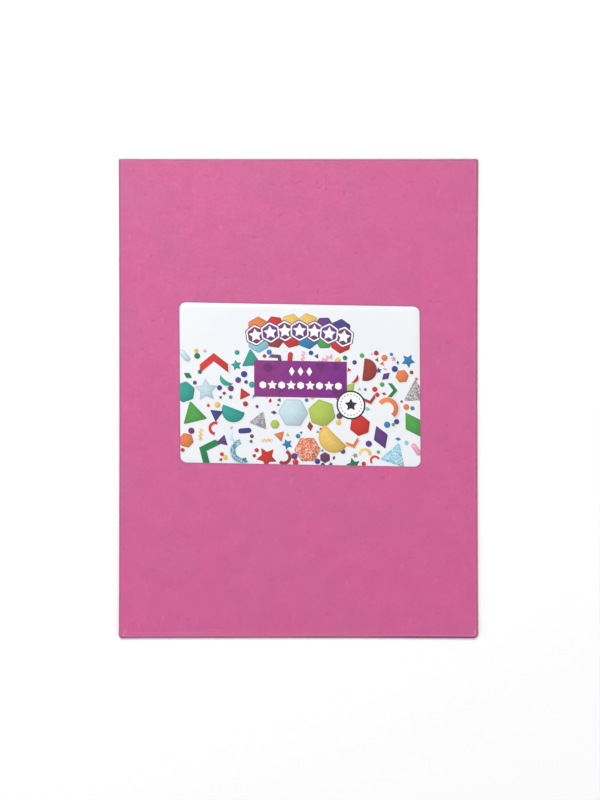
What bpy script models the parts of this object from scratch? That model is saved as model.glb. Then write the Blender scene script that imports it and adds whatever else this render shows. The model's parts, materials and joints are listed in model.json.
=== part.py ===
# A sheet of craft foam lying face up, with a paper label stuck on its face.
# Metres, +Z up. The sheet's width runs along X and its length along Y, and it rests on Z = 0.
import math

import bmesh
import bpy

# The sheet: a stock size of 9 x 12 in, cut from 2 mm foam
SHEET_WIDTH = 0.2286
SHEET_LENGTH = 0.3048
SHEET_THICKNESS = 0.002

# How far the middle of each cut side lies inside the straight line between its corners
LEFT_BOW = 0.0004
RIGHT_BOW = 0.0005
TOP_BOW = 0.00005
BOTTOM_BOW = 0.0003

# The lower corners are rounded by handling, the right one most
BOTTOM_RIGHT_RADIUS = 0.0035
TOP_RIGHT_RADIUS = 0.0008
TOP_LEFT_RADIUS = 0.0008
BOTTOM_LEFT_RADIUS = 0.0023

# The blade presses the foam down along its upper edge and leaves the lower one crisp
UPPER_EDGE_RADIUS = 0.0007
LOWER_EDGE_RADIUS = 0.0002

# The label: a stock size of 6 x 4 in, on coated paper
LABEL_WIDTH = 0.1524
LABEL_LENGTH = 0.1016
LABEL_THICKNESS = 0.00012
LABEL_RADIUS = 0.004

# The label's centre from the sheet's centre, and how it was stuck on and cut out of square
LABEL_OFFSET_X = 0.001
LABEL_OFFSET_Y = 0.009
LABEL_SLOPE = math.radians(-1.05)  # of its long edges, from X
LABEL_LEAN = math.radians(0.4)  # of its short edges, from Y
LABEL_GAP = 0.0003  # between the label's back and the foam

# How finely round stretches are cut
CORNER_STEPS = 6
SIDE_STEPS = 12
EDGE_STEPS = 3


def rounded_rectangle(width, length, radii):
    """Points round a rectangle about the origin, anticlockwise from its lower right corner."""
    corners = [(1, -1), (1, 1), (-1, 1), (-1, -1)]
    points = []
    for turn, ((side_x, side_y), radius) in enumerate(zip(corners, radii)):
        centre_x = side_x * (width / 2 - radius)
        centre_y = side_y * (length / 2 - radius)
        arc = []
        for step in range(CORNER_STEPS + 1):
            angle = math.radians(90) * (turn - 1 + step / CORNER_STEPS)
            arc.append((centre_x + radius * math.cos(angle), centre_y + radius * math.sin(angle)))
        if points:
            points += between(points[-1], arc[0])
        points += arc
    return points + between(points[-1], points[0])


def between(start, end):
    """Evenly spaced points on the straight side from one corner's arc to the next."""
    steps = [step / SIDE_STEPS for step in range(1, SIDE_STEPS)]
    return [(start[0] + t * (end[0] - start[0]), start[1] + t * (end[1] - start[1])) for t in steps]


def bowed(x, y):
    """Pulls a point of the sheet's outline in, by nothing at a corner and most at mid side."""
    across = abs(x) / (SHEET_WIDTH / 2)
    along = abs(y) / (SHEET_LENGTH / 2)
    pull_x = (LEFT_BOW if x < 0 else RIGHT_BOW) * across * (1 - along**2)
    pull_y = (BOTTOM_BOW if y < 0 else TOP_BOW) * along * (1 - across**2)
    return x - math.copysign(pull_x, x), y - math.copysign(pull_y, y)


def skewed(x, y):
    """Sets a point of the label's outline out of square and moves it to its place on the sheet."""
    return (
        LABEL_OFFSET_X + x - y * math.tan(LABEL_LEAN),
        LABEL_OFFSET_Y + y + x * math.tan(LABEL_SLOPE),
    )


def slab(outline, bottom, thickness):
    """A closed mesh with the outline's shape, raised from the height bottom by thickness."""
    bm = bmesh.new()
    face = bm.faces.new([bm.verts.new((x, y, bottom)) for x, y in outline])
    raised = bmesh.ops.extrude_face_region(bm, geom=[face])
    upper = [part for part in raised["geom"] if isinstance(part, bmesh.types.BMVert)]
    bmesh.ops.translate(bm, verts=upper, vec=(0, 0, thickness))
    bmesh.ops.recalc_face_normals(bm, faces=bm.faces)
    return bm


def round_rim(bm, height, radius):
    """Rounds the edge that runs round the slab at the given height."""
    rim = [e for e in bm.edges if all(math.isclose(v.co.z, height, abs_tol=1e-7) for v in e.verts)]
    bmesh.ops.bevel(
        bm, geom=rim, offset=radius, offset_type="OFFSET", segments=EDGE_STEPS, profile=0.5, affect="EDGES"
    )


def finished(name, bm, material):
    """Puts the mesh in an object of its own, with its material, shaded smooth on its round edges."""
    mesh = bpy.data.meshes.new(name)
    bm.to_mesh(mesh)
    bm.free()
    mesh.shade_smooth()
    mesh.set_sharp_from_angle(angle=math.radians(35))
    mesh.materials.append(material)
    piece = bpy.data.objects.new(name, mesh)
    bpy.context.scene.collection.objects.link(piece)
    return piece


def matte_material(name, colour, roughness):
    material = bpy.data.materials.new(name)
    material.use_nodes = True
    shader = material.node_tree.nodes["Principled BSDF"]
    shader.inputs["Base Color"].default_value = (*colour, 1)
    shader.inputs["Roughness"].default_value = roughness
    shader.inputs["Metallic"].default_value = 0
    return material


def foam_sheet():
    radii = [BOTTOM_RIGHT_RADIUS, TOP_RIGHT_RADIUS, TOP_LEFT_RADIUS, BOTTOM_LEFT_RADIUS]
    outline = [bowed(x, y) for x, y in rounded_rectangle(SHEET_WIDTH, SHEET_LENGTH, radii)]
    bm = slab(outline, 0, SHEET_THICKNESS)
    # no edge's round is larger than the tightest corner, or the two larger than the sheet is thick
    upper_radius = min(UPPER_EDGE_RADIUS, 0.9 * min(radii), 0.6 * SHEET_THICKNESS)
    lower_radius = min(LOWER_EDGE_RADIUS, 0.9 * min(radii), 0.3 * SHEET_THICKNESS)
    round_rim(bm, SHEET_THICKNESS, upper_radius)
    round_rim(bm, 0, lower_radius)
    return finished("foam_sheet", bm, matte_material("foam", (0.66, 0.14, 0.34), 0.85))


def label():
    corners = rounded_rectangle(LABEL_WIDTH, LABEL_LENGTH, [LABEL_RADIUS] * 4)
    bm = slab([skewed(x, y) for x, y in corners], SHEET_THICKNESS + LABEL_GAP, LABEL_THICKNESS)
    return finished("label", bm, matte_material("label_paper", (0.9, 0.91, 0.93), 0.35))


for old in list(bpy.data.objects):
    bpy.data.objects.remove(old, do_unlink=True)
foam_sheet()
label()
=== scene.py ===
import json
import math
import random

import bmesh
import bpy
from mathutils import Matrix, Vector, geometry, noise

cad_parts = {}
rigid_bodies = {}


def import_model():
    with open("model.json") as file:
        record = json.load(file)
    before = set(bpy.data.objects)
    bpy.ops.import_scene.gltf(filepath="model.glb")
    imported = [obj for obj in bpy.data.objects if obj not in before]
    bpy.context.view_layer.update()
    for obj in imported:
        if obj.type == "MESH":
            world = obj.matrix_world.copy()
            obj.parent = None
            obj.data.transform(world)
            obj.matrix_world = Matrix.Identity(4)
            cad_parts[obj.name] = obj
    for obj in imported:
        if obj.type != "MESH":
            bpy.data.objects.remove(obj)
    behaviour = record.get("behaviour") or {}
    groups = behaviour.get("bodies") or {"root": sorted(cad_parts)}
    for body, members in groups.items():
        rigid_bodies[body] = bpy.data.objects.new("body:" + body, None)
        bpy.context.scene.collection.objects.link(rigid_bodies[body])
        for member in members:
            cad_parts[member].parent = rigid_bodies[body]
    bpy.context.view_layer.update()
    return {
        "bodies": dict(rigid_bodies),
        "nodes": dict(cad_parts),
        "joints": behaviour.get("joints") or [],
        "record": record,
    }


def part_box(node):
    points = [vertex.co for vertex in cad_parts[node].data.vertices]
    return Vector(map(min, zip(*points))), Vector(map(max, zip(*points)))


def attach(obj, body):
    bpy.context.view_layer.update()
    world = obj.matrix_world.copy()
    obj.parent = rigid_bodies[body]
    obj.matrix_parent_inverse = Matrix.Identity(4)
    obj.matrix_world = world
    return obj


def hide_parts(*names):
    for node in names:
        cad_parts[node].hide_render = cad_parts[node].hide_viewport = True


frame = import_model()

print("frame loaded:", ", ".join(frame["nodes"]))

# the photograph: 600 x 800 pixels, taken from straight above
photo = {
    "width": 600,
    "height": 800,
    "sheetMiddleX": 298.4,  # pixels, where the sheet's middle lies in the picture
    "sheetMiddleY": 398.7,
    "pixelsPerMetre": 1574,
    "lens": 100,  # mm
    "sensor": 36,  # mm along the picture's long side
}

sheetLow, sheetHigh = (Vector(corner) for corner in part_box("foam_sheet"))
labelLow, labelHigh = (Vector(corner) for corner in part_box("label"))
sheetSize = sheetHigh - sheetLow
sheetTop = sheetHigh.z


def fromHex(text):
    # a screen colour such as d06a9c, as the linear red, green and blue that shaders use
    parts = [int(text[i:i + 2], 16) / 255 for i in (0, 2, 4)]
    return Vector([p / 12.92 if p < 0.04045 else ((p + 0.055) / 1.055) ** 2.4 for p in parts])


# Camera, first of all
def placeCamera():
    viewHeight = photo["height"] / photo["pixelsPerMetre"]
    distance = viewHeight * photo["lens"] / photo["sensor"]
    x = (photo["width"] / 2 - photo["sheetMiddleX"]) / photo["pixelsPerMetre"]
    y = (photo["sheetMiddleY"] - photo["height"] / 2) / photo["pixelsPerMetre"]
    bpy.ops.object.camera_add(location=(x, y, sheetTop + distance), rotation=(0, 0, 0))
    camera = bpy.context.object
    camera.name = "overhead_camera"
    camera.data.lens = photo["lens"]
    camera.data.sensor_width = photo["sensor"]
    bpy.context.scene.camera = camera


placeCamera()
print("camera placed")


# Working on a mesh as by hand
tiny = 0.000001  # m, what is closer than this counts as level
smoothAngle = math.radians(50)  # edges that bend more than this stay crisp


def pickObject(piece):
    bpy.ops.object.select_all(action="DESELECT")
    piece.select_set(True)
    bpy.context.view_layer.objects.active = piece


def openMesh(piece):
    pickObject(piece)
    bpy.ops.object.mode_set(mode="EDIT")


def closeMesh():
    bpy.ops.object.mode_set(mode="OBJECT")


def pickAll():
    bpy.ops.mesh.select_all(action="SELECT")


def pick(kind, test):
    # selects the verts, edges or faces of the open mesh that pass the test
    bpy.ops.mesh.select_mode(type={"verts": "VERT", "edges": "EDGE", "faces": "FACE"}[kind])
    bpy.ops.mesh.select_all(action="DESELECT")
    opened = bmesh.from_edit_mesh(bpy.context.object.data)
    for part in getattr(opened, kind):
        if test(part):
            part.select_set(True)
    opened.select_flush_mode()
    bmesh.update_edit_mesh(bpy.context.object.data)


def cutAcross(axis, places):
    # cuts the open mesh with flat planes square to an axis
    normal = [1 if i == axis else 0 for i in range(3)]
    for place in places:
        pickAll()
        bpy.ops.mesh.bisect(plane_co=[n * place for n in normal], plane_no=normal)


def startBox(name, low, high):
    bpy.ops.mesh.primitive_cube_add(size=1, location=(low + high) / 2)
    piece = bpy.context.object
    piece.name = piece.data.name = name
    piece.scale = high - low
    bpy.ops.object.transform_apply(location=True, rotation=False, scale=True)
    return piece


def isWall(face):
    # stands upright, or nearly
    return face.normal.z ** 2 < 0.1


def roundUprights(radii, segments):
    # rounds the open box's upright edges, one radius for each side of X and Y
    for (sideX, sideY), radius in radii.items():
        pick("edges", lambda e: abs(e.verts[0].co.z - e.verts[1].co.z) > tiny
             and all(v.co.x * sideX > 0 and v.co.y * sideY > 0 for v in e.verts)
             and all(isWall(f) for f in e.link_faces))
        bpy.ops.mesh.bevel(offset=radius, segments=segments, profile=0.5, affect="EDGES")


def roundRim(height, radius, segments):
    pick("edges", lambda e: all(abs(v.co.z - height) < tiny for v in e.verts))
    bpy.ops.mesh.bevel(offset=radius, segments=segments, profile=0.5, affect="EDGES")


def steps(low, high, pitch):
    # evenly spaced places strictly between low and high
    count = round((high - low) / pitch)
    return [low + (high - low) * i / count for i in range(1, count)]


# The foam sheet
sheet = {
    "cornerRound": {(1, -1): 0.0035, (1, 1): 0.0008, (-1, 1): 0.0008, (-1, -1): 0.0023},
    "cornerSegments": 8,
    "upperRound": 0.0007,
    "upperSegments": 5,
    "lowerRound": 0.0002,
    "lowerSegments": 2,
    "gridPitch": 0.004,  # halved once by the subdivision
    "rimCuts": (0.0011, 0.0014, 0.0018, 0.0023, 0.003, 0.0038),  # closer cuts along each side
    "wallCuts": (0.0006, 0.0009, 0.0012),
    "bow": {"left": 0.0004, "right": 0.0005, "top": 0.00005, "bottom": 0.0003},
    "swellWidth": 0.075,  # the face rises and falls gently
    "swellHeight": 0.00016,
    "rippleWidth": 0.022,
    "rippleHeight": 0.00005,
    "labelHold": 0.85,  # how much of the ripple the stiff label takes out
    "holdFade": 0.008,  # and over what width at its edges
    "cornerLift": {(1, -1): 0.0003, (1, 1): 0.0002, (-1, 1): 0.0001, (-1, -1): 0.0002},
    "liftReach": 0.035,
    "crushReach": {"left": 0.0019, "right": 0.0018, "top": 0.0017, "bottom": 0.0017},
    "crushDepth": {"left": 0.00022, "right": 0.00032, "top": 0.00020, "bottom": 0.00034},
    # how dark each side's rim is: crushed foam, with painted shade that is most on the lower side
    "crushAndShadeBySide": {"left": 0.9, "right": 0.85, "top": 0.8, "bottom": 1.1},
    "shadeRise": 2.2,  # the shade is full before the rim is at its deepest
    "unevenWidth": 0.03,
    "unevenBy": 0.7,
    "shadeFrom": -0.01,  # painted shade darkens the lower side's rim more from here
    "shadeFullBy": 0.105,  # and fully by here across
    "beadPlace": 0.0018,  # the blade leaves a low bead inside the crushed rim
    "beadWidth": 0.0006,
    "beadHeight": {"left": 0.00001, "right": 0.00003, "top": 0.00001, "bottom": 0.00004},
    # how pale the bead is: stretched foam, and a painted highlight on its lit slope
    "ridgeHighlightShare": {"left": 0.15, "right": 0.5, "top": 0.1, "bottom": 0.95},
    "glintReach": 0.009,  # a painted glint makes it paler still this near the lower right corner
    "glintShare": 1.6,
    "lineCore": 0.0001,  # pale lines are full to here from their middle, and fade out by the next two
    "ridgeFade": 0.0005,
    "creaseFade": 0.0004,
    "creaseEnds": 0.004,  # and over this length at their ends
    "creasesBelow": (-0.142, -0.139),  # there are none above the second of these
    "creases": [  # along the lower side: start and end across, distance from the edge, strength
        (-0.109, -0.047, 0.0035, 0.8),
        (-0.063, -0.046, 0.0052, 0.7),
        (-0.040, 0.034, 0.0034, 0.35),
    ],
    "cornerGlints": [  # painted glints in the lower corners: both ends, half width, strength
        ((0.1116, -0.1468), (0.1125, -0.1503), 0.0006, 0.9),
        ((0.1094, -0.1508), (0.1112, -0.1500), 0.0005, 0.6),
        ((-0.1117, -0.1480), (-0.1105, -0.1512), 0.0005, 0.8),
        ((-0.1094, -0.1455), (-0.1108, -0.1494), 0.0005, 0.6),
    ],
    "wallDish": 0.00007,
    "wallReach": 0.0001,  # what lies this near the outline is wall
    "cutNormals": (-0.5, 0.55),  # the cut shows on faces whose normals rise between these
}


def rimPlace(x, y):
    # how far inside the sheet's outline a place is, and the way out
    sideX, sideY = math.copysign(1, x), math.copysign(1, y)
    radius = sheet["cornerRound"][(sideX, sideY)]
    overX, overY = abs(x) - sheetSize.x / 2 + radius, abs(y) - sheetSize.y / 2 + radius
    if overX > 0 and overY > 0:
        reach = math.hypot(overX, overY)
        return radius - reach, Vector((sideX * overX / reach, sideY * overY / reach, 0))
    if overX > overY:
        return radius - overX, Vector((sideX, 0, 0))
    return radius - overY, Vector((0, sideY, 0))


def sideOf(place, wayOut):
    if abs(wayOut.x) > 0.7:  # past 45 degrees
        return "right" if place.x > 0 else "left"
    return "top" if place.y > 0 else "bottom"


def riseAt(x, y):
    # how far the face stands above flat; a third number gives each noise a pattern of its own
    broad = noise.noise(Vector((x, y, 0)) / sheet["swellWidth"])
    close = noise.noise(Vector((x, y, 0.3)) / sheet["rippleWidth"])
    inLabel = min(x - labelLow.x, labelHigh.x - x, y - labelLow.y, labelHigh.y - y)
    held = sheet["labelHold"] * min(1, max(0, 0.5 + inLabel / sheet["holdFade"]))
    return sheet["swellHeight"] * broad + sheet["rippleHeight"] * close * (1 - held)


def liftAt(x, y):
    # how far the whole sheet is off the floor, at its corners
    lift = 0
    for (sideX, sideY), height in sheet["cornerLift"].items():
        away = math.hypot(x - sideX * sheetSize.x / 2, y - sideY * sheetSize.y / 2)
        lift += height * max(0, 1 - away / sheet["liftReach"]) ** 2
    return lift


def bowAt(x, y):
    # the cut sides bow in, by nothing at the corners
    across, along = abs(x) / (sheetSize.x / 2), abs(y) / (sheetSize.y / 2)
    pullX = sheet["bow"]["left" if x < 0 else "right"] * across * (1 - along ** 2)
    pullY = sheet["bow"]["bottom" if y < 0 else "top"] * along * (1 - across ** 2)
    return Vector((-math.copysign(pullX, x), -math.copysign(pullY, y), 0))


def unevenAt(x, y):
    # the blade pressed a little harder in some stretches than in others
    return 1 + sheet["unevenBy"] * noise.noise(Vector((x, y, 0.7)) / sheet["unevenWidth"])


def crushAt(side, inside):
    # 0 inside the pressed rim, 1 at the sheet's edge
    return min(1, max(0, 1 - inside / sheet["crushReach"][side]))


def paintedShadeAt(x, wayOut):
    # painted shade: 0 where the rim is as usual, rising to 1 towards the lower side's right end
    start, end = sheet["shadeFrom"], sheet["shadeFullBy"]
    return min(1, max(0, (x - start) / (end - start))) * max(0, -wayOut.y) ** 2


def beadAt(place, side, inside):
    height = sheet["beadHeight"][side] * unevenAt(place.x, place.y)
    return height * math.exp(-((inside - sheet["beadPlace"]) / sheet["beadWidth"]) ** 2)


def wearFoam(place):
    x, y, z = place
    inside, wayOut = rimPlace(x, y)
    side = sideOf(place, wayOut)
    up = z / sheetTop  # 0 on the underside, 1 on the face
    crush = sheet["crushDepth"][side] * crushAt(side, inside) ** 2
    moved = place + bowAt(x, y)
    moved.z += up * (riseAt(x, y) + beadAt(place, side, inside) - crush) + liftAt(x, y)
    if inside < sheet["wallReach"]:
        moved -= wayOut * sheet["wallDish"] * 4 * up * (1 - up)  # most at half height
    return moved


def makeFoam():
    piece = startBox("foam_face", sheetLow, sheetHigh)
    middle = (sheetLow + sheetHigh) / 2
    for vertex in piece.data.vertices:
        vertex.co -= Vector((middle.x, middle.y, 0))
    openMesh(piece)
    roundUprights(sheet["cornerRound"], sheet["cornerSegments"])
    roundRim(sheetTop, sheet["upperRound"], sheet["upperSegments"])
    roundRim(0, sheet["lowerRound"], sheet["lowerSegments"])
    cutAcross(2, sheet["wallCuts"])
    for axis, half in ((0, sheetSize.x / 2), (1, sheetSize.y / 2)):
        cutAcross(axis, [side * (half - cut) for side in (-1, 1) for cut in sheet["rimCuts"]])
        inner = half - sheet["rimCuts"][-1]
        cutAcross(axis, steps(-inner, inner, sheet["gridPitch"]))
    closeMesh()
    finer = piece.modifiers.new("finer", "SUBSURF")
    finer.subdivision_type = "SIMPLE"
    finer.levels = finer.render_levels = 1
    pickObject(piece)
    bpy.ops.object.modifier_apply(modifier=finer.name)
    crushAndShade, ridgeAndHighlight, rimAway = (piece.data.attributes.new(name, "FLOAT", "POINT")
                               for name in ("crushAndShade", "ridgeAndHighlight", "rimAway"))
    glintCorner = Vector((sheetSize.x / 2, -sheetSize.y / 2))
    for number, vertex in enumerate(piece.data.vertices):
        inside, wayOut = rimPlace(vertex.co.x, vertex.co.y)
        side, uneven = sideOf(vertex.co, wayOut), unevenAt(*vertex.co.xy)
        # a painted glint near the lower right corner
        nearCorner = max(0, 1 - (vertex.co.xy - glintCorner).length / sheet["glintReach"])
        # the rim's colour: crushed foam, with painted shade
        shade = sheet["crushAndShadeBySide"][side] * uneven + paintedShadeAt(vertex.co.x, wayOut)
        crush = min(1, sheet["shadeRise"] * crushAt(side, inside))
        crushAndShade.data[number].value = shade * crush
        # the bead's pale line: stretched foam, with a painted highlight
        ridgeAndHighlight.data[number].value = sheet["ridgeHighlightShare"][side] * uneven + sheet["glintShare"] * nearCorner
        rimAway.data[number].value = inside
        vertex.co = wearFoam(vertex.co)
    bpy.ops.object.shade_smooth_by_angle(angle=smoothAngle)
    return piece


foam = makeFoam()
print("foam made:", len(foam.data.polygons), "faces")


# The label's paper
paper = {
    "width": 0.1524,
    "length": 0.1016,
    "thickness": 0.0001,
    "cornerRound": 0.004,
    "cornerSegments": 12,
    "rimShare": 0.25,  # of the thickness, rounded off its upper rim
    "rimSegments": 2,
    "slope": math.radians(-1.05),  # its long edges, from X
    "lean": math.radians(0.4),  # its short edges, from Y
    "gap": 0.00002,
    "pitch": 0.004,
}
labelMiddle = (labelLow + labelHigh) / 2
halfX, halfY = paper["width"] / 2, paper["length"] / 2


def stickDown(piece, height=0):
    # from flat at the origin to its place on the foam, which it follows
    for vertex in piece.data.vertices:
        u, v, w = vertex.co
        x = labelMiddle.x + u - v * math.tan(paper["lean"])
        y = labelMiddle.y + v + u * math.tan(paper["slope"])
        z = sheetTop + paper["gap"] + height + w
        vertex.co = (x, y, z + riseAt(x, y) + liftAt(x, y))


def makeLabel():
    half = Vector((halfX, halfY, 0))
    piece = startBox("label_sheet", -half, half + Vector((0, 0, paper["thickness"])))
    openMesh(piece)
    corners = {(x, y): paper["cornerRound"] for x in (-1, 1) for y in (-1, 1)}
    roundUprights(corners, paper["cornerSegments"])
    rimRound = paper["thickness"] * paper["rimShare"]
    roundRim(paper["thickness"], rimRound, paper["rimSegments"])
    cutAcross(0, steps(-half.x, half.x, paper["pitch"]))
    cutAcross(1, steps(-half.y, half.y, paper["pitch"]))
    closeMesh()
    stickDown(piece)
    bpy.ops.object.shade_smooth_by_angle(angle=smoothAngle)
    return piece


label = makeLabel()
print("label made")


# The print: flat shapes of ink, each drawn once at a radius of 1
inks = {
    "teal": "2b9f90", "green": "4fa349", "forest": "1c7a45", "blue": "2c7fb4",
    "navy": "3b3f86", "sky": "8fcbe0", "paleBlue": "c6dfe8", "red": "cb2f2b",
    "brick": "9f3b31", "orange": "e07f48", "yellow": "e8c164", "purple": "633a80",
    "plum": "6b3862", "pink": "eba6bd", "lime": "b3c558", "silver": "9d959c",
    "glitterBlue": "2f8aa6", "glitterSky": "9adcf2", "glitterSilver": "a59ba0", "glitterOrange": "e5743c",
    "bandLeft": "8b2d7f", "bandRight": "791f81", "bandGhost": "6c2069", "white": "fbfbfd",
    "black": "2b2730",
}

printing = {
    "pitch": 0.004,
    "inkThickness": 0.000003,
    "layer": 0.000009,
    "bandInset": 0.002,  # for a shape of radius 1, as is the next
    "rimWidth": 0.25,  # the ink's tone changes from its rim to here
    "rimTone": 0.72,
    "middleTone": 0.30,  # lighter by this past the rim
    "slantTone": 0.17,  # and lighter or darker by this from upper left to lower right
    "seed": 23,
    "fieldTop": 0.0225,  # the motifs stop here, and the paper above them is bare
    "middleFrom": -0.03,  # the label's left, middle and right have inks of their own
    "middleTo": 0.036,
    "tries": 600,  # for a free place, before a motif is left out
    "cornerClear": 0.007,
    # shares of its radius that a motif keeps clear of the corners, badge, band and other motifs
    "cornerShare": 0.5,
    "badgeShare": 0.3,
    "bandShare": 0.2,
    "motifShare": 0.85,
    "shadowDrop": (0.0005, -0.0006),
    "shadowSpread": 1.13,
    "line": "plum",  # what a framed shape is outlined in
    "large": {
        "count": 21,
        "radius": (0.0068, 0.0098),
        "clear": 0.0001,
        "shapes": "triangle hexagon halfDisc star diamond hexagon chevron triangle arch".split(),
        "inks": {
            "left": "teal forest glitterBlue green paleBlue red teal".split(),
            "middle": "glitterOrange red lime glitterSilver yellow paleBlue".split(),
            "right": "glitterSky green red purple orange glitterSilver brick".split(),
        },
    },
    "medium": {
        "count": 36,
        "radius": (0.0030, 0.0050),
        "clear": 0.0003,
        "shapes": "crescent triangle star zigzag arch diamond hexagon pill chevron".split(),
        "inks": {
            "left": "navy teal red paleBlue purple yellow forest orange".split(),
            "middle": "red orange blue pink brick lime plum yellow forest".split(),
            "right": "brick blue yellow purple orange pink forest red silver".split(),
        },
    },
    "small": {
        "count": 92,
        "radius": (0.0010, 0.0021),
        "clear": 0.0004,
        "shapes": "disc disc triangle disc hexagon star disc diamond".split(),
        "inks": {
            "left": "purple forest navy red teal yellow brick plum pink".split(),
            "middle": "brick plum blue forest red navy yellow silver purple".split(),
            "right": "brick blue green purple orange pink red navy sky".split(),
        },
    },
}
band = {
    "x": 0.0004,
    "y": 0.0034,
    "width": 0.059,
    "length": 0.0232,
    "cells": (24, 10),  # how finely its uneven purple is drawn
    "unevenWidth": 0.006,
    "unevenBy": 0.22,
    "ghosts": [  # shape, place from the band's middle, radius
        ("disc", -0.0205, 0.0070, 0.0030),
        ("triangle", 0.0130, 0.0080, 0.0042),
        ("disc", 0.0225, -0.0078, 0.0026),
        ("crescent", -0.0110, -0.0085, 0.0030),
        ("hexagon", 0.0228, 0.0084, 0.0024),
    ],
    "ghostTurn": 90,  # radians for each metre across
    "rows": [  # white marks, each with its radius, in turn along a row
        {"count": 3, "pitch": 0.0056, "y": 0.0049, "marks": [("diamond", 0.0029)]},
        {"count": 9, "pitch": 0.0060, "y": -0.0040, "marks": [("hexagon", 0.0024), ("star", 0.0032)]},
    ],
}
badge = {
    "x": 0.0323,
    "y": -0.0124,
    "radius": 0.0092,
    "ring": 0.0010,
    "starShare": 0.46,  # of the badge's radius, as is how far out the dots lie
    "dotReach": 0.72,
    "dots": 20,
    "dotRadius": 0.00038,
}
chain = {
    "y": 0.0325,
    "arch": 0.0034,
    "reach": 0.028,  # how far its outermost links lie from its middle
    "links": 7,
    "radius": 0.0072,
    "starShare": 0.62,
    "lean": -8,  # degrees, at its outermost links
    # plain hexagons above and below the links: how far off, and their inks
    "above": (0.0042, "orange red yellow yellow purple navy".split()),
    "below": (-0.0044, "sky brick red blue green red".split()),
    "plainRadius": 0.0074,
    "plainSizes": (1, 0.84, 0.93),
    "plainSpread": 1.12,
    "plainTurn": 23,  # degrees from one to the next
}


def openShape(name):
    # the shape that was just added
    shape = bpy.context.object
    shape.name = shape.data.name = name
    openMesh(shape)
    pickAll()
    return shape


def startShape(name, corners):
    bpy.ops.mesh.primitive_circle_add(vertices=corners, radius=1, fill_type="NGON")
    return openShape(name)


def softenCorners(amount):
    pickAll()
    bpy.ops.mesh.bevel(offset=amount, segments=4, affect="VERTICES")


def awayFrom(point, start, end):
    share = geometry.intersect_point_line(point, start, end)[1]
    return (point - start.lerp(end, min(1, max(0, share)))).length


def finishShape(shape, bands=(), lineWidth=0, frameWidth=0, middle=0):
    # bands inside the outline and a middle point let the ink change from rim to middle
    pickAll()
    for share in bands:
        bpy.ops.mesh.inset(thickness=printing["bandInset"])
        bpy.ops.transform.resize(value=(share, share, 1), center_override=(0, middle, 0))
    if bands:
        bpy.ops.mesh.poke()
    pick("edges", lambda e: e.is_boundary)
    closeMesh()
    mesh = shape.data
    rim = [[mesh.vertices[i].co.copy() for i in edge.vertices] for edge in mesh.edges if edge.select]
    depths = [min(awayFrom(vertex.co, *side) for side in rim) for vertex in mesh.vertices]
    ink = mesh.color_attributes.new("ink", "FLOAT_COLOR", "CORNER")
    for face in mesh.polygons:
        inside = sum(depths[i] for i in face.vertices) / len(face.vertices)
        onLine = inside < lineWidth
        onFrame = inside < lineWidth + frameWidth and not onLine
        for corner, i in zip(face.loop_indices, face.vertices):
            depth = min(1, depths[i] / printing["rimWidth"]) if bands else 1
            ink.data[corner].color = (depth, onLine, onFrame, 0)
    return shape


def makePolygon(name, corners, width=1, soften=0, **finish):
    shape = startShape(name, corners)
    if width != 1:
        bpy.ops.transform.resize(value=(width, 1, 1))
    if soften:
        softenCorners(soften)
    return finishShape(shape, **finish)


def makeStar():
    # every second of its corners, 36 degrees apart, is drawn in halfway
    shape = startShape("star", corners=10)
    pick("verts", lambda v: round(math.degrees(math.atan2(v.co.x, v.co.y)) / 36) % 2)
    bpy.ops.transform.resize(value=(0.5, 0.5, 1), center_override=(0, 0, 0))
    softenCorners(0.07)
    return finishShape(shape, bands=(0.8,))


def makeCrescent():
    # the right half of a disc is folded over to the left, and made shallower
    shape = startShape("crescent", corners=36)
    pick("verts", lambda v: v.co.x > 0.01)
    bpy.ops.transform.resize(value=(-0.35, 1, 1), center_override=(0, 0, 0))
    return finishShape(shape)


def makeHalfDisc():
    # cut off a little below its middle
    shape = startShape("half_disc", corners=36)
    bpy.ops.mesh.bisect(plane_co=(0, -0.2, 0), plane_no=(0, 1, 0), clear_inner=True)
    return finishShape(shape, bands=(0.8,), middle=0.35)


def makeArch():
    # the upper part of a ring
    shape = startShape("arch", corners=36)
    bpy.ops.mesh.inset(thickness=0.42)
    bpy.ops.mesh.delete(type="FACE")
    pickAll()
    bpy.ops.mesh.bisect(plane_co=(0, -0.1, 0), plane_no=(0, 1, 0), clear_inner=True)
    return finishShape(shape)


def makePill():
    # a small disc, drawn out to both sides
    shape = startShape("pill", corners=24)
    bpy.ops.transform.resize(value=(0.4, 0.4, 1))
    for side in (-1, 1):
        pick("verts", lambda v: v.co.x * side > 0.01)
        bpy.ops.transform.translate(value=(side * 0.6, 0, 0))
    return finishShape(shape, bands=(0.72,))


def makeStrip(name, cuts, halfWidth, rise):
    # a strip bent up and down at evenly spaced cuts
    bpy.ops.mesh.primitive_grid_add(x_subdivisions=cuts, y_subdivisions=1, size=2)
    shape = openShape(name)
    bpy.ops.transform.resize(value=(1, halfWidth, 1))
    pick("verts", lambda v: round((v.co.x + 1) * cuts / 2) % 2)
    bpy.ops.transform.translate(value=(0, rise, 0))
    pickAll()
    bpy.ops.transform.translate(value=(0, -rise / 2, 0))
    return finishShape(shape)


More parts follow.
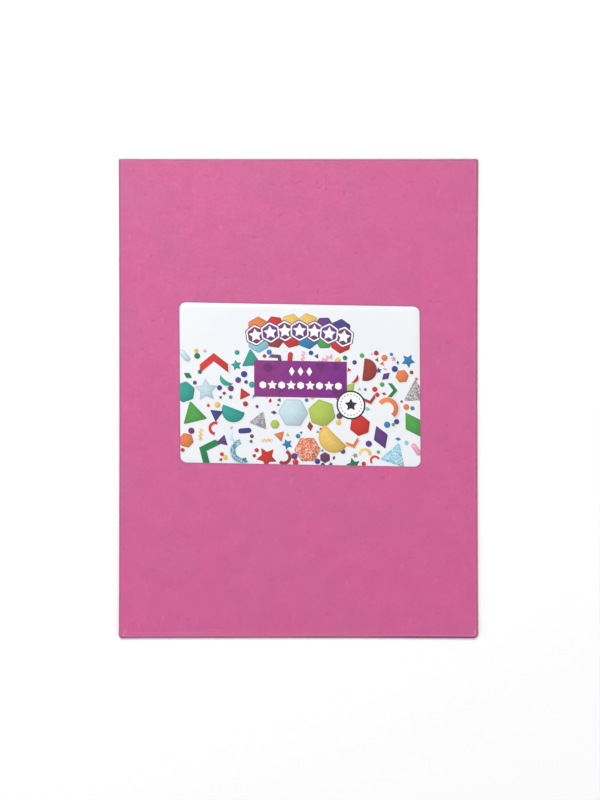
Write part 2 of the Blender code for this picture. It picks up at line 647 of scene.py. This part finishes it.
shapes = {
    "disc": makePolygon("disc", 24, bands=(0.76,)),
    "round": makePolygon("round", 72),
    "triangle": makePolygon("triangle", 3, soften=0.16, bands=(0.8,)),
    "hexagon": makePolygon("hexagon", 6, soften=0.1, bands=(0.84,)),
    "framedHexagon": makePolygon("framed_hexagon", 6, soften=0.12, bands=(0.91, 0.85, 0.7),
                                 lineWidth=0.08, frameWidth=0.12),
    "diamond": makePolygon("diamond", 4, width=0.62, soften=0.08, bands=(0.81,)),
    "star": makeStar(),
    "crescent": makeCrescent(),
    "halfDisc": makeHalfDisc(),
    "arch": makeArch(),
    "pill": makePill(),
    "chevron": makeStrip("chevron", cuts=2, halfWidth=0.3, rise=0.8),
    "zigzag": makeStrip("zigzag", cuts=6, halfWidth=0.2, rise=0.4),
}
print("shapes drawn:", ", ".join(shapes))


def copyShape(shape, place, size, turn, level):
    # one copy of a shape, at its place on the label while that is still flat
    copy = shapes[shape].copy()
    copy.data = shapes[shape].data.copy()
    bpy.context.scene.collection.objects.link(copy)
    for vertex in copy.data.vertices:
        turned = Matrix.Rotation(turn, 2) @ vertex.co.xy
        vertex.co = (place[0] + turned.x * size, place[1] + turned.y * size, level * printing["layer"])
    return copy


def stamp(shape, ink, place, size, turn=0, level=0, lit=True):
    copy = copyShape(shape, place, size, turn, level)
    colour = fromHex(inks[ink])
    line, frame = fromHex(inks[printing["line"]]), fromHex(inks["white"])
    mesh = copy.data
    for loop, corner in zip(mesh.loops, mesh.color_attributes["ink"].data):
        depth, onLine, onFrame = corner.color[:3]
        x, y, z = mesh.vertices[loop.vertex_index].co
        toned = colour
        if onLine or onFrame:
            toned = line if onLine else frame
        elif lit:
            # printed as if lit from the upper left, and darker at its rim
            slope = ((y - place[1]) - (x - place[0])) / size
            tone = printing["rimTone"] + printing["middleTone"] * depth
            toned = colour * tone * (1 + printing["slantTone"] * slope)
        corner.color = (*toned, ink.startswith("glitter"))
    return copy


def stampShadow(shape, place, size, turn, level):
    # a larger copy, shifted down and to the right, that shades the paper from its rim inwards
    spot = [a + b for a, b in zip(place, printing["shadowDrop"])]
    copy = copyShape(shape, spot, size * printing["shadowSpread"], turn, level)
    shade = copy.data.color_attributes["ink"]
    for corner in shade.data:
        corner.color = (corner.color[0], 0, 0, 0)
    shade.name = "shade"
    return copy


def joinPrint(name, copies, height):
    # makes one piece of ink from the stamped copies, at a height above the paper
    bpy.ops.object.select_all(action="DESELECT")
    for copy in copies:
        copy.select_set(True)
    bpy.context.view_layer.objects.active = copies[0]
    if len(copies) > 1:
        bpy.ops.object.join()
    piece = bpy.context.object
    piece.name = piece.data.name = name
    openMesh(piece)
    for x, y in ((1, 0), (-1, 0), (0, 1), (0, -1)):
        # nothing is printed past the paper's edges
        pickAll()
        bpy.ops.mesh.bisect(plane_co=(x * halfX, y * halfY, 0), plane_no=(x, y, 0), clear_outer=True)
    cutAcross(0, steps(-halfX, halfX, printing["pitch"]))
    cutAcross(1, steps(-halfY, halfY, printing["pitch"]))
    closeMesh()
    thick = piece.modifiers.new("thick", "SOLIDIFY")
    thick.thickness = printing["inkThickness"]
    thick.offset = 1
    bpy.ops.object.modifier_apply(modifier=thick.name)
    stickDown(piece, paper["thickness"] + height)
    return piece


def roomFor(x, y, radius, clear, taken):
    # is the place below the bare paper, and clear of the lower corners, badge, band and other motifs?
    if y + radius > printing["fieldTop"]:
        return False
    cornerClear = printing["cornerClear"] + radius * printing["cornerShare"]
    if abs(x) > halfX - cornerClear and y < cornerClear - halfY:
        return False
    badgeClear = badge["radius"] + radius * printing["badgeShare"]
    if math.hypot(x - badge["x"], y - badge["y"]) < badgeClear:
        return False
    besideX = abs(x - band["x"]) - band["width"] / 2
    besideY = abs(y - band["y"]) - band["length"] / 2
    if max(besideX, besideY) < radius * printing["bandShare"]:
        return False
    share = printing["motifShare"]
    return all(math.hypot(x - a, y - b) > radius * share + r * share + clear for a, b, r in taken)


def findRoom(chance, radius, clear, taken):
    for _ in range(printing["tries"]):
        x, y = chance.uniform(-halfX, halfX), chance.uniform(-halfY, printing["fieldTop"])
        if roomFor(x, y, radius, clear, taken):
            return x, y
    return None


def freeLevel(spot, radius, spread, levels):
    # the lowest level on which nothing lies as near as this
    near = {level for x, y, r, level in levels
            if math.hypot(spot[0] - x, spot[1] - y) < (radius + r) * spread}
    level = min(set(range(len(near) + 1)) - near)
    levels.append((*spot, radius, level))
    return level


def partOf(x):
    if x < printing["middleFrom"]:
        return "left"
    return "right" if x > printing["middleTo"] else "middle"


def scatterMotifs():
    # large shapes first, so that smaller ones fill the room between them
    chance = random.Random(printing["seed"])
    taken, motifs, shadows, motifLevels, shadowLevels = [], [], [], [], []
    for kind in ("large", "medium", "small"):
        choice = printing[kind]
        used = {"left": 0, "middle": 0, "right": 0}
        for number in range(choice["count"]):
            radius = chance.uniform(*choice["radius"])
            turn = chance.uniform(0, 2 * math.pi)
            spot = findRoom(chance, radius, choice["clear"], taken)
            if not spot:
                continue
            taken.append((*spot, radius))
            shape = choice["shapes"][number % len(choice["shapes"])]
            part = partOf(spot[0])
            ink = choice["inks"][part][used[part] % len(choice["inks"][part])]
            used[part] += 1
            level = freeLevel(spot, radius, 1, motifLevels)
            motifs.append(stamp(shape, ink, spot, radius, turn, level))
            level = freeLevel(spot, radius, printing["shadowSpread"], shadowLevels)
            shadows.append(stampShadow(shape, spot, radius, turn, level))
    highest = [max(level for *_, level in levels) for levels in (shadowLevels, motifLevels)]
    return motifs, shadows, highest


def makeBandGround():
    # a dark band of a slightly uneven purple
    across, along = band["cells"]
    bpy.ops.mesh.primitive_grid_add(x_subdivisions=across, y_subdivisions=along, size=2)
    ground = bpy.context.object
    ground.scale = (band["width"] / 2, band["length"] / 2, 1)
    ground.location = (band["x"], band["y"], 0)
    bpy.ops.object.transform_apply(location=True, rotation=False, scale=True)
    left, right = fromHex(inks["bandLeft"]), fromHex(inks["bandRight"])
    ink = ground.data.color_attributes.new("ink", "FLOAT_COLOR", "CORNER")
    for loop, corner in zip(ground.data.loops, ink.data):
        co = ground.data.vertices[loop.vertex_index].co
        share = 0.5 + (co.x - band["x"]) / band["width"]
        uneven = 1 + band["unevenBy"] * noise.noise(co / band["unevenWidth"])
        corner.color = (*(left.lerp(right, share) * uneven), 0)
    return ground


def makeBandGhosts():
    # darker shapes that show faintly through the band
    return [stamp(shape, "bandGhost", (band["x"] + x, band["y"] + y), size, x * band["ghostTurn"], lit=False)
            for shape, x, y, size in band["ghosts"]]


def makeBandMarks():
    # three diamonds over a row of hexagons and stars
    marks = []
    for row in band["rows"]:
        for i in range(row["count"]):
            along = (i - (row["count"] - 1) / 2) * row["pitch"]
            shape, size = row["marks"][i % len(row["marks"])]
            marks.append(stamp(shape, "white", (band["x"] + along, band["y"] + row["y"]), size, lit=False))
    return marks


def makeBadge():
    # a white disc in a black ring, with a star inside a ring of dots
    spot, radius = (badge["x"], badge["y"]), badge["radius"]
    parts = [stamp("round", "black", spot, radius, lit=False),
             stamp("round", "white", spot, radius - badge["ring"], level=1, lit=False),
             stamp("star", "black", spot, radius * badge["starShare"], level=2, lit=False)]
    for i in range(badge["dots"]):
        angle = 2 * math.pi * i / badge["dots"]
        reach = radius * badge["dotReach"]
        place = (spot[0] + reach * math.cos(angle), spot[1] + reach * math.sin(angle))
        parts.append(stamp("disc", "black", place, badge["dotRadius"], level=2, lit=False))
    return parts


def archPlace(share, rise=0):
    # a place on the chain's arch, from -1 at its left end to 1 at its right
    return share * chain["reach"], chain["y"] + chain["arch"] * (0.5 - share ** 2) + rise


def makeChain():
    # framed links with white stars, along an arch of plain hexagons in many colours
    parts = []
    for rise, colours in (chain["above"], chain["below"]):
        for i, colour in enumerate(colours):
            share = (i - (len(colours) - 1) / 2) / (len(colours) / 2) * chain["plainSpread"]
            size = chain["plainRadius"] * chain["plainSizes"][i % 3]
            turn = math.radians(chain["plainTurn"] * i)
            level = i % 2 + (2 if rise > 0 else 0)  # neighbours overlap, so they take turns
            parts.append(stamp("hexagon", colour, archPlace(share, rise), size, turn, level))
    starRadius = chain["radius"] * chain["starShare"]
    for i in range(chain["links"]):
        share = i / (chain["links"] - 1) * 2 - 1
        turn = math.radians(chain["lean"] * share)
        core = ("plum", "purple")[i % 2]
        parts.append(stamp("framedHexagon", core, archPlace(share), chain["radius"], turn, 4 + i % 2))
        parts.append(stamp("star", "white", archPlace(share), starRadius, turn, 6, lit=False))
    return parts


# the print in layers: shadows lowest, then motifs, band and chain, and the badge on top
motifs, shadows, (shadowTop, motifTop) = scatterMotifs()
layer = printing["layer"]
overShadows = 2 + shadowTop
overMotifs = overShadows + 1 + motifTop
printShadows = joinPrint("label_motif_shadows", shadows, layer)
printPieces = [
    joinPrint("label_motifs", motifs, overShadows * layer),
    joinPrint("label_band", [makeBandGround()], overMotifs * layer),
    joinPrint("label_band_ghosts", makeBandGhosts(), (overMotifs + 1) * layer),
    joinPrint("label_band_marks", makeBandMarks(), (overMotifs + 2) * layer),
    joinPrint("label_badge", makeBadge(), (overMotifs + 3) * layer),
    joinPrint("label_chain", makeChain(), overMotifs * layer),
]
for shape in shapes.values():
    bpy.data.objects.remove(shape, do_unlink=True)
print("print made:", len(motifs), "motifs,", shadowTop + 1, "layers of shadow,", motifTop + 1, "of ink")


# Materials
noiseSpan = (0.3, 0.7)  # nearly all of a noise lies between these


def newMaterial(name):
    material = bpy.data.materials.new(name)
    material.use_nodes = True
    tree = material.node_tree
    shader = tree.nodes["Principled BSDF"]
    place = tree.nodes.new("ShaderNodeTexCoord").outputs["Object"]
    return material, tree, shader, place


def addNode(tree, kind, inputs, **settings):
    node = tree.nodes.new("ShaderNode" + kind)
    for name, value in settings.items():
        setattr(node, name, value)
    for socket, value in inputs.items():
        if isinstance(value, bpy.types.NodeSocket):
            tree.links.new(value, node.inputs[socket])
        else:
            node.inputs[socket].default_value = value
    return node


def addNoise(tree, place, scale, detail=3, roughness=0.5):
    inputs = {"Vector": place, "Scale": scale, "Detail": detail, "Roughness": roughness}
    return addNode(tree, "TexNoise", inputs).outputs["Fac"]


def addCells(tree, place, scale, dimensions="2D", randomness=1):
    inputs = {"Vector": place, "Scale": scale, "Randomness": randomness}
    return addNode(tree, "TexVoronoi", inputs, voronoi_dimensions=dimensions).outputs


def addChannels(tree, colour):
    return addNode(tree, "SeparateColor", {"Color": colour}).outputs


def addMath(tree, operation, a, b=0.5, c=0.5, clamp=False):
    return addNode(tree, "Math", {0: a, 1: b, 2: c}, operation=operation, use_clamp=clamp).outputs[0]


def addVector(tree, operation, a, b=(0, 0, 0)):
    node = addNode(tree, "VectorMath", {0: a, 1: b}, operation=operation)
    return node.outputs["Value" if operation in ("DOT_PRODUCT", "LENGTH") else "Vector"]


def addAttribute(tree, name, output="Fac"):
    return addNode(tree, "Attribute", {}, attribute_name=name).outputs[output]


def addRange(tree, value, fromLow, fromHigh, toLow, toHigh):
    inputs = {"Value": value, "From Min": fromLow, "From Max": fromHigh, "To Min": toLow, "To Max": toHigh}
    return addNode(tree, "MapRange", inputs, clamp=True, interpolation_type="SMOOTHSTEP").outputs["Result"]


def addBetween(tree, value, start, fullFrom, fullTo, end):
    # 1 between the inner two places, fading to 0 at the outer two
    begun = addRange(tree, value, start, fullFrom, 0, 1)
    notOver = addRange(tree, value, fullTo, end, 1, 0)
    return addMath(tree, "MULTIPLY", begun, notOver)


def addMix(tree, factor, a, b):
    # socket numbers: 0 factor, 6 and 7 the two colours, and 2 the mixed colour
    return addNode(tree, "Mix", {0: factor, 6: a, 7: b}, data_type="RGBA").outputs[2]


def finishShader(tree, shader, finish, colour, rough, height):
    # what every material ends with: its colour, how rough it is, and its relief
    roughness = addRange(tree, rough, *noiseSpan, *finish["roughness"])
    bump = addNode(tree, "Bump", {"Height": height, "Distance": finish["bump"], "Strength": 1})
    tree.links.new(colour, shader.inputs["Base Color"])
    tree.links.new(roughness, shader.inputs["Roughness"])
    tree.links.new(bump.outputs["Normal"], shader.inputs["Normal"])


foamFinish = {
    "fuller": (0.6225, 0.0986, 0.279, 1),  # faint patches of a fuller and a greyer pink
    "greyer": (0.5835, 0.1086, 0.283, 1),
    "mottle": (0.515, 0.082, 0.236, 1),
    "pit": (0.42, 0.050, 0.178, 1),
    "scuff": (0.66, 0.150, 0.34, 1),
    "crushAndShade": (0.400, 0.106, 0.220, 1),  # the crushed rim, darker for crushing and with painted shade
    # the rim's darkest: most crushed, and painted shade towards the lower right
    "deepCrushAndShade": (0.215, 0.042, 0.122, 1),
    "ridgeAndHighlight": (0.600, 0.158, 0.310, 1),  # stretched pale, and the bead's painted highlight
    # painted glints at the lower corners
    "glint": (0.700, 0.250, 0.430, 1),
    "cloudScale": 22,  # features per metre: patches of about 4 cm
    "cloudSpan": (0.35, 0.65),
    "mottleScale": 75,
    "peelScale": 420,
    "mottleSpan": (0.32, 0.68),
    "cellScale": 3800,  # closed cells of a quarter millimetre
    # specks: places for one per metre, stretch, turn, the share of places that have one, size
    "pits": (110, (1, 1, 1), 0, 0.18, 0.055),
    "nicks": (78, (0.3, 1, 1), -0.3, 0.12, 0.04),
    "scuffs": (95, (1, 0.45, 1), 0.5, 0.5, 0.12),
    "pores": (1100, (1, 1, 1), 0, 0.4, 0.1),
    "dentScale": 170,  # a place for a dent every 6 mm
    "dentLong": 0.0026,
    "dentShort": 0.0011,
    "dentShare": 0.5,
    "crowdScale": 13,  # dents are more frequent in some places than in others
    "labelShadowReach": 0.0018,  # how far out from the label's edge a painted shadow darkens the foam
    # how strongly each colour is laid over those before it
    "mottleShare": 0.38,
    "peelShare": 0.24,
    "poreShare": 0.4,
    "markShare": 0.25,
    "scuffShare": 0.5,
    "labelShadowShare": 0.75,
    "deepShare": 0.85,
    "roughness": (0.45, 0.57),
    "bump": 0.00012,
    "peelHeight": 0.35,  # how high it stands in the bump, and then all else
    "heights": (0.28, 2.0, -1.3, -0.3, 0.15),
}
cutFinish = {
    "cellScale": 5200,
    "openSpan": (0.1, 0.6),  # from a cell's middle to its rim
    "dragScale": 900,  # where the blade dragged
    "deepShare": 0.45,
    "roughness": (0.75, 0.9),
    "bump": 0.00012,
}
paperFinish = {
    "dull": (0.80, 0.822, 0.856, 1),
    "bright": (0.825, 0.845, 0.872, 1),
    "cloudScale": 30,
    "shadow": (0.42, 0.43, 0.50, 1),
    "shadowShare": 0.34,
    "fibreScale": 2600,
    "roughness": (0.34, 0.46),
    "bump": 0.000006,
}
inkFinish = {
    "dark": (0, 0, 0, 1),
    "grainScale": 700,
    "grainShare": 0.07,
    "fleckScale": 1900,  # glitter: flecks per metre, half of them bright and a third dark
    "brightFleck": (0.95, 0.93, 0.92, 1),
    "brightShare": 0.62,
    "darkFleck": (0.08, 0.07, 0.11, 1),
    "darkShare": 0.48,
    "roughness": (0.32, 0.44),
    "bump": 0.000006,
}


def addSpecks(tree, place, scale, stretch, turn, share, size):
    # a few scattered specks, some fainter than others, all drawn out along one way
    turned = addNode(tree, "Mapping", {"Vector": place, "Rotation": (0, 0, turn), "Scale": stretch})
    cells = addCells(tree, turned.outputs["Vector"], scale)
    chance = addChannels(tree, cells["Color"])
    kept = addMath(tree, "GREATER_THAN", chance[0], 1 - share)
    fray = addNoise(tree, place, scale * 12, 2)
    ragged = addMath(tree, "MULTIPLY_ADD", fray, size * 1.6, cells["Distance"])
    spot = addRange(tree, ragged, size * 0.9, size * 1.8, 1, 0)
    return addMath(tree, "MULTIPLY", addMath(tree, "MULTIPLY", spot, kept), chance[1])


def addLabelDistance(tree, place):
    # how far a place on the foam lies outside the label's outline
    offset = addVector(tree, "SUBTRACT", place, (labelMiddle.x, labelMiddle.y, 0))
    across = addVector(tree, "DOT_PRODUCT", offset, (1, math.tan(paper["lean"]), 0))
    along = addVector(tree, "DOT_PRODUCT", offset, (-math.tan(paper["slope"]), 1, 0))
    flat = addNode(tree, "CombineXYZ", {0: across, 1: along}).outputs[0]
    radius = paper["cornerRound"]
    inner = (halfX - radius, halfY - radius, 0)
    over = addVector(tree, "SUBTRACT", addVector(tree, "ABSOLUTE", flat), inner)
    out = addVector(tree, "MAXIMUM", over)
    return addMath(tree, "SUBTRACT", addVector(tree, "LENGTH", out), radius)


def addGlint(tree, place, start, end, halfWidth, strength):
    # a soft painted glint from start to end, fading out at both
    way = Vector(end) - Vector(start)
    along = way.normalized()
    offset = addVector(tree, "SUBTRACT", place, (*start, 0))
    gone = addVector(tree, "DOT_PRODUCT", offset, (*along, 0))
    aside = addVector(tree, "DOT_PRODUCT", offset, (-along.y, along.x, 0))
    line = addRange(tree, addMath(tree, "ABSOLUTE", aside), 0, halfWidth, strength, 0)
    ends = addBetween(tree, gone, 0, way.length * 0.4, way.length * 0.7, way.length)
    return addMath(tree, "MULTIPLY", line, ends)


def addGlints(tree, place):
    # all the painted glints, together
    marks = [addGlint(tree, place, *fold) for fold in sheet["cornerGlints"]]
    together = marks[0]
    for mark in marks[1:]:
        together = addMath(tree, "MAXIMUM", together, mark)
    return together


def addPaleLines(tree, place):
    # pale lines: all along the bead, where the foam is stretched and a painted highlight lies on its lit
    # slope, and a few creases by the lower side
    away, ridgeAndHighlight = addAttribute(tree, "rimAway"), addAttribute(tree, "ridgeAndHighlight")
    split = addNode(tree, "SeparateXYZ", {"Vector": place})
    low = addRange(tree, split.outputs["Y"], *sheet["creasesBelow"], 1, 0)
    core, fade = sheet["lineCore"], sheet["creaseEnds"]
    off = addMath(tree, "ABSOLUTE", addMath(tree, "SUBTRACT", away, sheet["beadPlace"]))
    bead = addRange(tree, off, core, sheet["ridgeFade"], 1, 0)
    lines = addMath(tree, "MULTIPLY", bead, ridgeAndHighlight, clamp=True)
    for start, end, inside, strength in sheet["creases"]:
        off = addMath(tree, "ABSOLUTE", addMath(tree, "SUBTRACT", away, inside))
        line = addRange(tree, off, core, sheet["creaseFade"], strength, 0)
        ends = addBetween(tree, split.outputs["X"], start, start + fade, end - fade, end)
        line = addMath(tree, "MULTIPLY", line, ends)
        lines = addMath(tree, "MAXIMUM", lines, addMath(tree, "MULTIPLY", line, low))
    return lines


def addDents(tree, place, finish, crowding):
    # small shallow dents of different depths, each turned its own way
    cells = addCells(tree, place, finish["dentScale"], randomness=0.75)
    chance = addChannels(tree, cells["Color"])
    offset = addVector(tree, "SUBTRACT", place, cells["Position"])
    angle = addMath(tree, "MULTIPLY", chance[1], math.tau)
    turned = addNode(tree, "VectorRotate", {"Vector": offset, "Angle": angle}, rotation_type="Z_AXIS")
    size = (1 / finish["dentLong"], 1 / finish["dentShort"], 0)
    reach = addVector(tree, "LENGTH", addVector(tree, "MULTIPLY", turned.outputs[0], size))
    ragged = addMath(tree, "MULTIPLY_ADD", addNoise(tree, place, 700, 2), 2.2, reach)
    dent = addMath(tree, "MULTIPLY", addRange(tree, ragged, 1.15, 2.0, 1, 0), chance[2])
    wanted = addMath(tree, "MULTIPLY", crowding, finish["dentShare"])
    return addMath(tree, "MULTIPLY", dent, addMath(tree, "LESS_THAN", chance[0], wanted))


def makeFoamMaterial():
    material, tree, shader, place = newMaterial("craft_foam")
    finish = foamFinish
    cloud = addRange(tree, addNoise(tree, place, finish["cloudScale"]), *finish["cloudSpan"], 0, 1)
    mottle = addNoise(tree, place, finish["mottleScale"], 4, 0.55)
    peel = addNoise(tree, place, finish["peelScale"], 2)
    cells = addCells(tree, place, finish["cellScale"], "3D")["Distance"]
    pits, nicks, scuffs, pores = (addSpecks(tree, place, *finish[kind])
                                  for kind in ("pits", "nicks", "scuffs", "pores"))
    crowding = addRange(tree, addNoise(tree, place, finish["crowdScale"], 2), 0.4, 0.62, 0.25, 1)
    dents = addDents(tree, place, finish, crowding)
    marks = addMath(tree, "MAXIMUM", addMath(tree, "MAXIMUM", pits, nicks), dents)
    crushAndShade = addAttribute(tree, "crushAndShade")
    # a painted shadow along the label's edge
    labelShadow = addRange(tree, addLabelDistance(tree, place), 0.0001, finish["labelShadowReach"], 1, 0)
    paleLines = addPaleLines(tree, place)
    # each colour over those before it, from the ground up
    layers = [
        (addRange(tree, mottle, *finish["mottleSpan"], 0, finish["mottleShare"]), "mottle"),
        (addRange(tree, peel, *finish["mottleSpan"], 0, finish["peelShare"]), "mottle"),
        (addMath(tree, "MULTIPLY", pores, finish["poreShare"]), "pit"),
        (addMath(tree, "MULTIPLY", marks, finish["markShare"]), "pit"),
        (addMath(tree, "MULTIPLY", scuffs, finish["scuffShare"]), "scuff"),
        # pale bead and creases, with the bead's painted highlight
        (paleLines, "ridgeAndHighlight"),
        # the crushed rim with its painted shade, and a painted shadow round the label
        (addMath(tree, "MULTIPLY_ADD", labelShadow, finish["labelShadowShare"], crushAndShade, clamp=True), "crushAndShade"),
        # painted shade, deepest towards the lower side's right end
        (addRange(tree, crushAndShade, 1, 2, 0, finish["deepShare"]), "deepCrushAndShade"),
        # painted glints at the lower corners
        (addGlints(tree, place), "glint"),
    ]
    colour = addMix(tree, cloud, finish["greyer"], finish["fuller"])
    for share, name in layers:
        colour = addMix(tree, share, colour, finish[name])
    height = addMath(tree, "MULTIPLY", peel, finish["peelHeight"])
    for relief, rise in zip((cells, mottle, marks, pores, paleLines), finish["heights"]):
        height = addMath(tree, "MULTIPLY_ADD", relief, rise, height)
    finishShader(tree, shader, finish, colour, peel, height)
    return material


def makeCutMaterial():
    material, tree, shader, place = newMaterial("craft_foam_cut")
    finish = cutFinish
    cells = addCells(tree, place, finish["cellScale"], "3D")["Distance"]
    drag = addNoise(tree, place, finish["dragScale"])
    openCells = addRange(tree, cells, *finish["openSpan"], 0, 1)
    opened = addMix(tree, openCells, foamFinish["pit"], foamFinish["mottle"])
    # the rim's painted shade reaches down the cut as well
    deep = addRange(tree, addAttribute(tree, "crushAndShade"), 1, 2, 0, finish["deepShare"])
    colour = addMix(tree, deep, opened, foamFinish["deepCrushAndShade"])
    finishShader(tree, shader, finish, colour, drag, addMath(tree, "MULTIPLY_ADD", cells, -1, drag))
    return material


def makePaperMaterial():
    material, tree, shader, place = newMaterial("coated_paper")
    finish = paperFinish
    fibre = addNoise(tree, place, finish["fibreScale"], 4)
    cloud = addRange(tree, addNoise(tree, place, finish["cloudScale"], 2), *noiseSpan, 0, 1)
    blank = addMix(tree, cloud, finish["dull"], finish["bright"])
    shade = addChannels(tree, addAttribute(tree, "shade", "Color"))[0]
    share = addMath(tree, "MULTIPLY", shade, finish["shadowShare"])
    finishShader(tree, shader, finish, addMix(tree, share, blank, finish["shadow"]), fibre, fibre)
    return material


def makeInkMaterial():
    material, tree, shader, place = newMaterial("printing_ink")
    finish = inkFinish
    sparkle = addChannels(tree, addCells(tree, place, finish["fleckScale"])["Color"])[0]
    grain = addNoise(tree, place, finish["grainScale"])
    darker = addRange(tree, grain, *noiseSpan, 0, finish["grainShare"])
    toned = addMix(tree, darker, addAttribute(tree, "ink", "Color"), finish["dark"])
    bright = addRange(tree, sparkle, 0.5, 1, 0, finish["brightShare"])
    dark = addRange(tree, sparkle, 0, 0.35, finish["darkShare"], 0)
    glitter = addMix(tree, dark, addMix(tree, bright, toned, finish["brightFleck"]), finish["darkFleck"])
    colour = addMix(tree, addAttribute(tree, "ink", "Alpha"), toned, glitter)
    finishShader(tree, shader, finish, colour, grain, grain)
    return material


foam.data.materials.append(makeFoamMaterial())
foam.data.materials.append(makeCutMaterial())
openMesh(foam)
cutLow, cutHigh = sheet["cutNormals"]
pick("faces", lambda f: cutLow < f.normal.z < cutHigh)
foam.active_material_index = 1
bpy.ops.object.material_slot_assign()
closeMesh()
for pieces, material in (((label, printShadows), makePaperMaterial()), (printPieces, makeInkMaterial())):
    for piece in pieces:
        piece.data.materials.append(material)
print("materials made")


# Floor and light
studio = {
    "floorSize": 10,
    "floorDrop": 0.00005,  # just below the sheet
    "floorColour": (0.98, 0.98, 0.98, 1),
    "floorRoughness": 0.9,
    "ambient": 0.26,
    "lights": {
        # name: place, size and power; the key stands beyond the sheet's upper left side
        "key_light": ((-0.32, 0.80, 1.42), 0.7, 18.6),
        "left_fill": ((-1.50, -0.55, 1.00), 1.2, 10),
        "right_fill": ((1.45, -0.75, 1.00), 1.2, 11),
    },
}


def addLight(name, place, size, power):
    bpy.ops.object.light_add(type="AREA", location=place)
    light = bpy.context.object
    light.name = name
    light.data.size = size
    light.data.energy = power
    light.rotation_euler = Vector(place).to_track_quat("Z", "Y").to_euler()  # towards the sheet


def makeStudio():
    bpy.ops.mesh.primitive_plane_add(size=studio["floorSize"], location=(0, 0, -studio["floorDrop"]))
    floor = bpy.context.object
    floor.name = "floor"
    material, _, shader, _ = newMaterial("pale_floor")
    shader.inputs["Base Color"].default_value = studio["floorColour"]
    shader.inputs["Roughness"].default_value = studio["floorRoughness"]
    floor.data.materials.append(material)
    world = bpy.data.worlds.new("studio")
    world.use_nodes = True
    background = world.node_tree.nodes["Background"]
    background.inputs["Color"].default_value = (1, 1, 1, 1)
    background.inputs["Strength"].default_value = studio["ambient"]
    bpy.context.scene.world = world
    for name, (place, size, power) in studio["lights"].items():
        addLight(name, place, size, power)
    bpy.context.scene.view_settings.view_transform = "Standard"


makeStudio()
print("studio lit")

# Tie the pieces to the frame
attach(foam, "root")
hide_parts("foam_sheet")
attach(label, "root")
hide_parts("label")
for piece in (printShadows, *printPieces):
    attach(piece, "root")
